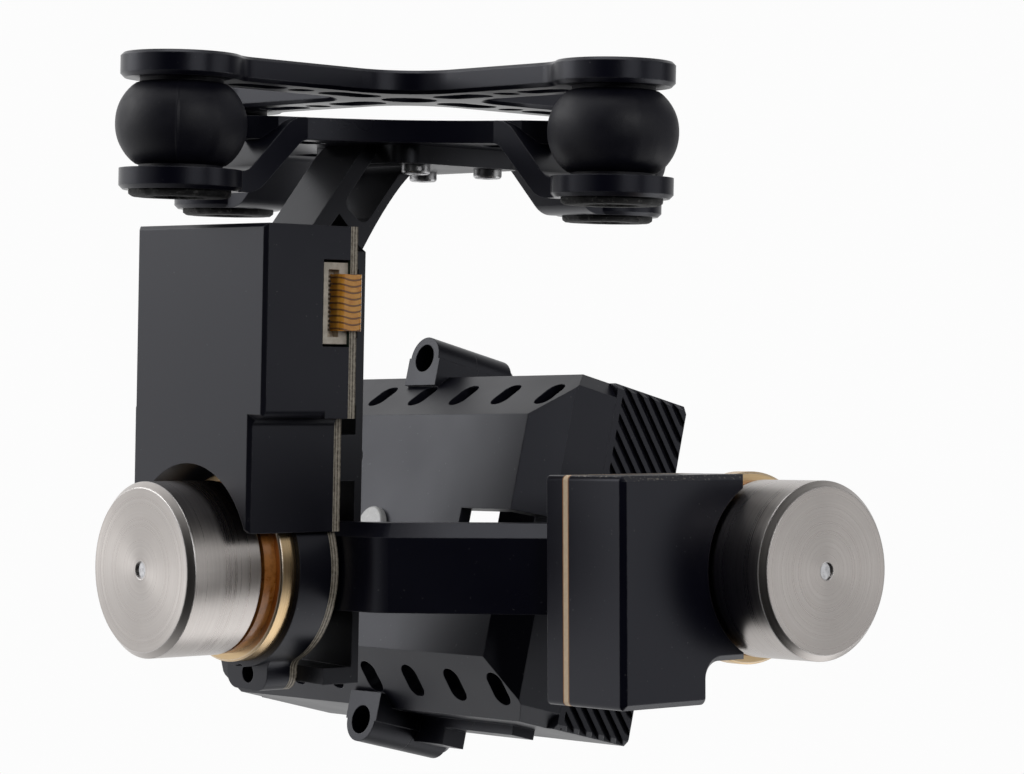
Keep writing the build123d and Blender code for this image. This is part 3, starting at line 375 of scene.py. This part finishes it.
NODE_MATERIALS = {
    "upper_damper_plate": black,
    "lower_damper_plate": black,
    "neck_bracket": black_neck,
    "roll_housing": black_machined,
    "roll_arm": black,
    "tilt_housing": black_dusty,
    "tilt_hub": black,
    "case_rear_shell": black_machined,
    "case_front_shell": black_machined,
    "platform_screws": steel,
    "housing_screws": dark_steel,
    "tilt_screws": dark_steel,
    "hub_screws": dark_steel,
    "case_clamp_screws": dark_steel,
    "roll_motor_can": can_roll,
    "tilt_motor_can": can_tilt,
    "roll_motor_magnets": polished,
    "tilt_motor_magnets": polished,
    "roll_stator": iron,
    "tilt_stator": iron,
    "roll_coil_ring": amber,
    "tilt_coil_ring": amber,
    "roll_motor_flange": gold_roll,
    "tilt_motor_flange": gold_tilt,
    "roll_shaft": polished,
    "tilt_shaft": polished,
    "roll_bearings": polished,
    "tilt_bearings": polished,
    "hub_bearing": polished,
    "control_board": roll_edge,
    "tilt_board": tilt_edge,
    "board_chips": chip,
    "flex_connector": cream,
    "connector_contacts": contact,
    "ribbon_cable": orange,
    "case_pads": soft_black,
    "case_button": button_light,
    "camera_plug": plug_white,
}
for node_name, material in NODE_MATERIALS.items():
    data = frame["nodes"][node_name].data
    data.materials.clear()
    data.materials.append(material)


# ---------------------------------------------------------------- rubber dampers
def damper(name, seam):
    """Moulded rubber ball: neck, bulge, parting-line ridge, collar above, grommet below."""
    low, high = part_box(name)
    cx, cy = (low.x + high.x) / 2, (low.y + high.y) / 2
    mid = (UPPER_UNDERSIDE + LOBE_TOP) / 2
    half = (UPPER_UNDERSIDE - LOBE_TOP) / 2
    ball = (high.x - low.x) / 2
    profile = [(0.0, high.z), (4.3 * MM, high.z), (4.58 * MM, high.z - 0.12 * MM)]
    profile += [(COLLAR_R, high.z - COLLAR_T), (STEM_R, high.z - COLLAR_T)]
    profile += [(STEM_R, UPPER_UNDERSIDE + 0.02 * MM)]
    profile += [(NECK_R, UPPER_UNDERSIDE), (NECK_R, UPPER_UNDERSIDE - NECK_T)]
    for k in range(BALL_STEPS + 1):
        t = -1 + 2 * k / BALL_STEPS
        z = mid - t * (half - 0.55 * MM)
        bulge = (1 - abs(t) ** 2.15) ** 0.86
        profile.append((BALL_END_R + (ball - 0.1 * MM - BALL_END_R) * bulge, z))
    profile += [(NECK_R, LOBE_TOP + NECK_T), (NECK_R, LOBE_TOP), (STEM_R, LOBE_TOP - 0.02 * MM)]
    bottom = LOBE_TOP - LOBE_THICKNESS
    profile += [(STEM_R, bottom), (5.78 * MM, bottom), (5.92 * MM, bottom - 0.15 * MM)]
    profile += [(5.88 * MM, low.z + 0.3 * MM), (5.5 * MM, low.z + 0.04 * MM)]
    profile += [(3.2 * MM, low.z + 0.02 * MM), (2.9 * MM, low.z + 0.3 * MM)]
    profile += [(1.2 * MM, low.z + 0.3 * MM), (0.0, low.z + 0.3 * MM)]
    around = {round(math.radians(a), 6) for a in range(0, 360, 5)}
    for side in (0, 180):
        around.add(math.radians(seam + side))
        for step in (-2.4, -1.5, -0.8, 0.8, 1.5, 2.4):
            around.add(round(math.radians(seam + side + step), 6))
    angles = sorted(around)
    mesh = bmesh.new()
    rows = []
    for r, z in profile:
        if r == 0.0:
            rows.append([mesh.verts.new((cx, cy, z))])
            continue
        row = []
        for a in angles:
            off = min(abs((math.degrees(a) - seam - side + 180) % 360 - 180) for side in (0, 180))
            on_ball = r > 4.9 * MM and LOBE_TOP < z < UPPER_UNDERSIDE
            ridge = SEAM_HEIGHT * max(0.0, 1 - off / SEAM_HALF_WIDTH) if on_ball else 0.0
            pit = 0.0
            if z < bottom - 0.05 * MM and r > 3.0 * MM:
                pit = PIT_DEPTH * math.sin(7 * a + 3 * math.sin(5 * a)) - PIT_DEPTH
            reach = r + ridge + pit
            row.append(mesh.verts.new((cx + reach * math.cos(a), cy + reach * math.sin(a), z)))
        rows.append(row)
    count = len(angles)
    for upper, lower in zip(rows, rows[1:]):
        for k in range(count):
            n = (k + 1) % count
            if len(upper) == 1:
                face = mesh.faces.new((upper[0], lower[k], lower[n]))
            elif len(lower) == 1:
                face = mesh.faces.new((upper[k], lower[0], upper[n]))
            else:
                face = mesh.faces.new((upper[k], lower[k], lower[n], upper[n]))
            face.smooth = True
            face.material_index = 1 if face.calc_center_median().z < bottom else 0
    data = bpy.data.meshes.new(name + "_rubber")
    mesh.to_mesh(data)
    mesh.free()
    piece = bpy.data.objects.new(name + "_rubber", data)
    bpy.context.scene.collection.objects.link(piece)
    data.materials.append(soft_black)
    data.materials.append(torn_black)
    data.set_sharp_from_angle(angle=math.radians(50))
    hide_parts(name)
    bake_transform(piece)


for damper_name, seam_angle in SEAM_ANGLES.items():
    damper(damper_name, seam_angle)


# ---------------------------------------------------------------- surround, light, camera
def world():
    """White backdrop, brightest to the left, dimmer to the right and behind the photographer."""
    made = bpy.data.worlds.new("studio")
    bpy.context.scene.world = made
    made.use_nodes = True
    tree = made.node_tree
    sky = tree.nodes["Background"]
    sky.inputs["Color"].default_value = (1.0, 1.0, 1.0, 1.0)
    out = tree.nodes["World Output"]
    where = tree.nodes.new("ShaderNodeTexCoord").outputs["Generated"]
    dot = tree.nodes.new("ShaderNodeVectorMath")
    dot.operation = "DOT_PRODUCT"
    dot.inputs[1].default_value = SKY_BRIGHT
    tree.links.new(where, dot.inputs[0])
    fade = tree.nodes.new("ShaderNodeMapRange")
    fade.inputs["From Min"].default_value = SKY_FROM
    fade.inputs["From Max"].default_value = SKY_TO
    fade.inputs["To Min"].default_value = SKY_LOW
    fade.inputs["To Max"].default_value = SKY_HIGH
    tree.links.new(dot.outputs["Value"], fade.inputs["Value"])
    tree.links.new(fade.outputs["Result"], sky.inputs["Strength"])
    plain = tree.nodes.new("ShaderNodeBackground")
    plain.inputs["Color"].default_value = (1.0, 1.0, 1.0, 1.0)
    plain.inputs["Strength"].default_value = BACKDROP
    seen = tree.nodes.new("ShaderNodeLightPath").outputs["Is Camera Ray"]
    pick = tree.nodes.new("ShaderNodeMixShader")
    tree.links.new(seen, pick.inputs[0])
    tree.links.new(sky.outputs[0], pick.inputs[1])
    tree.links.new(plain.outputs[0], pick.inputs[2])
    tree.links.new(pick.outputs[0], out.inputs["Surface"])


def softbox(name, place, target, size, watts):
    data = bpy.data.lights.new(name, "AREA")
    data.shape = "RECTANGLE"
    data.size, data.size_y = size
    data.energy = watts
    lamp = bpy.data.objects.new(name, data)
    bpy.context.scene.collection.objects.link(lamp)
    lamp.location = place
    lamp.rotation_euler = (Vector(target) - Vector(place)).to_track_quat("-Z", "Y").to_euler()
    lamp.visible_camera = False


def camera():
    """Long lens, level with the motors, looking at the corner between roll and tilt unit."""
    azimuth = math.radians(CAMERA_AZIMUTH)
    elevation = math.radians(CAMERA_ELEVATION)
    bank = math.radians(CAMERA_BANK)
    flat = math.cos(elevation)
    back = Vector((math.sin(azimuth) * flat, -math.cos(azimuth) * flat, math.sin(elevation)))
    side = Vector((math.cos(azimuth), math.sin(azimuth), 0.0))
    up = back.cross(side)
    right = math.cos(bank) * side + math.sin(bank) * up
    top = -math.sin(bank) * side + math.cos(bank) * up
    data = bpy.data.cameras.new("camera")
    data.sensor_width = SENSOR_WIDTH
    data.lens = LENS
    data.clip_start = 0.01
    made = bpy.data.objects.new("camera", data)
    bpy.context.scene.collection.objects.link(made)
    turn = Matrix((right, top, back)).transposed().to_4x4()
    made.matrix_world = Matrix.Translation(CAMERA_PLACE + CROSSING) @ turn
    bpy.context.scene.camera = made


world()
softbox("key_left", (-0.62, -0.55, 0.32), LIGHT_TARGET, (0.5, 0.5), 1.9)
softbox("fill_right", (0.64, 0.54, 0.06), LIGHT_TARGET, (0.6, 0.7), 0.9)
softbox("side_right", (0.85, -0.12, 0.33), LIGHT_TARGET, (0.5, 0.5), 1.8)
softbox("below_back", (0.25, 0.55, -0.60), LIGHT_TARGET, (0.7, 0.7), 1.8)
softbox("top", (0.05, -0.1, 0.8), (0, 0, -0.04), (0.6, 0.6), 1.4)
camera()
bpy.context.scene.view_settings.view_transform = "Standard"
